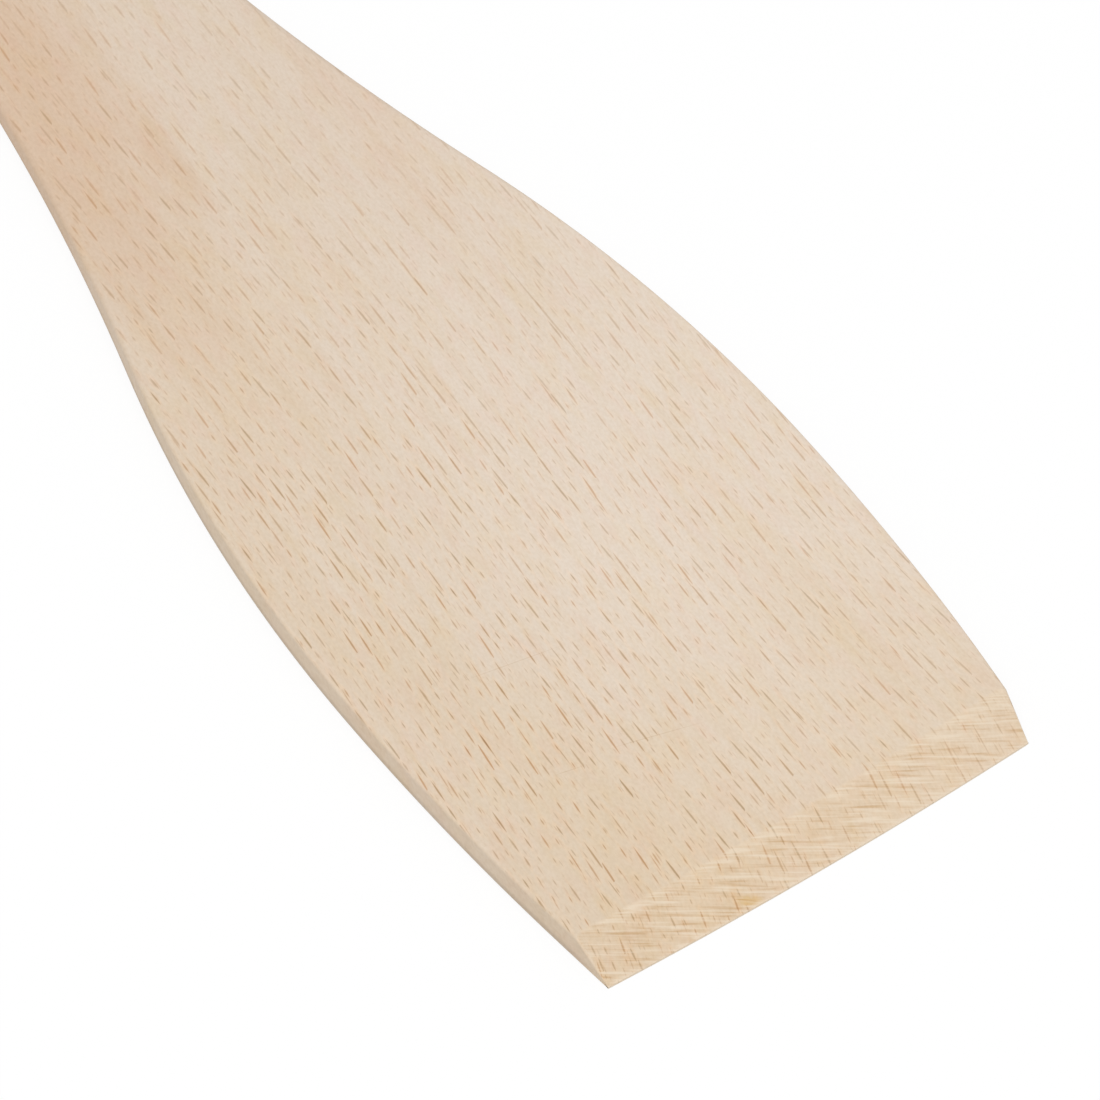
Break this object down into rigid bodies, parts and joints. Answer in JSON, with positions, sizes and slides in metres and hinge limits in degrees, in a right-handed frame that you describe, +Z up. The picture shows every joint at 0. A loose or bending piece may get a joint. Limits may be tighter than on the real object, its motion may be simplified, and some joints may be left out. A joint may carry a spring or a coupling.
{
  "type": "wooden spatula",
  "caption": "Flat solid-wood kitchen spatula with a flared blade, a bevelled straight tip, a slim neck and a round-ended handle, for stirring and turning food.",
  "frame": {"origin": "on the underside, halfway along the length and on the line of symmetry", "axes": "+X along the length towards the tip, +Y across the width, +Z up through the thickness"},
  "size_m": [0.3, 0.06, 0.004],
  "materials": {
    "beech": "pale beech, sanded, not varnished"
  },
  "bodies": {
    "root": {"spatula": "beech"}
  },
  "joints": []
}
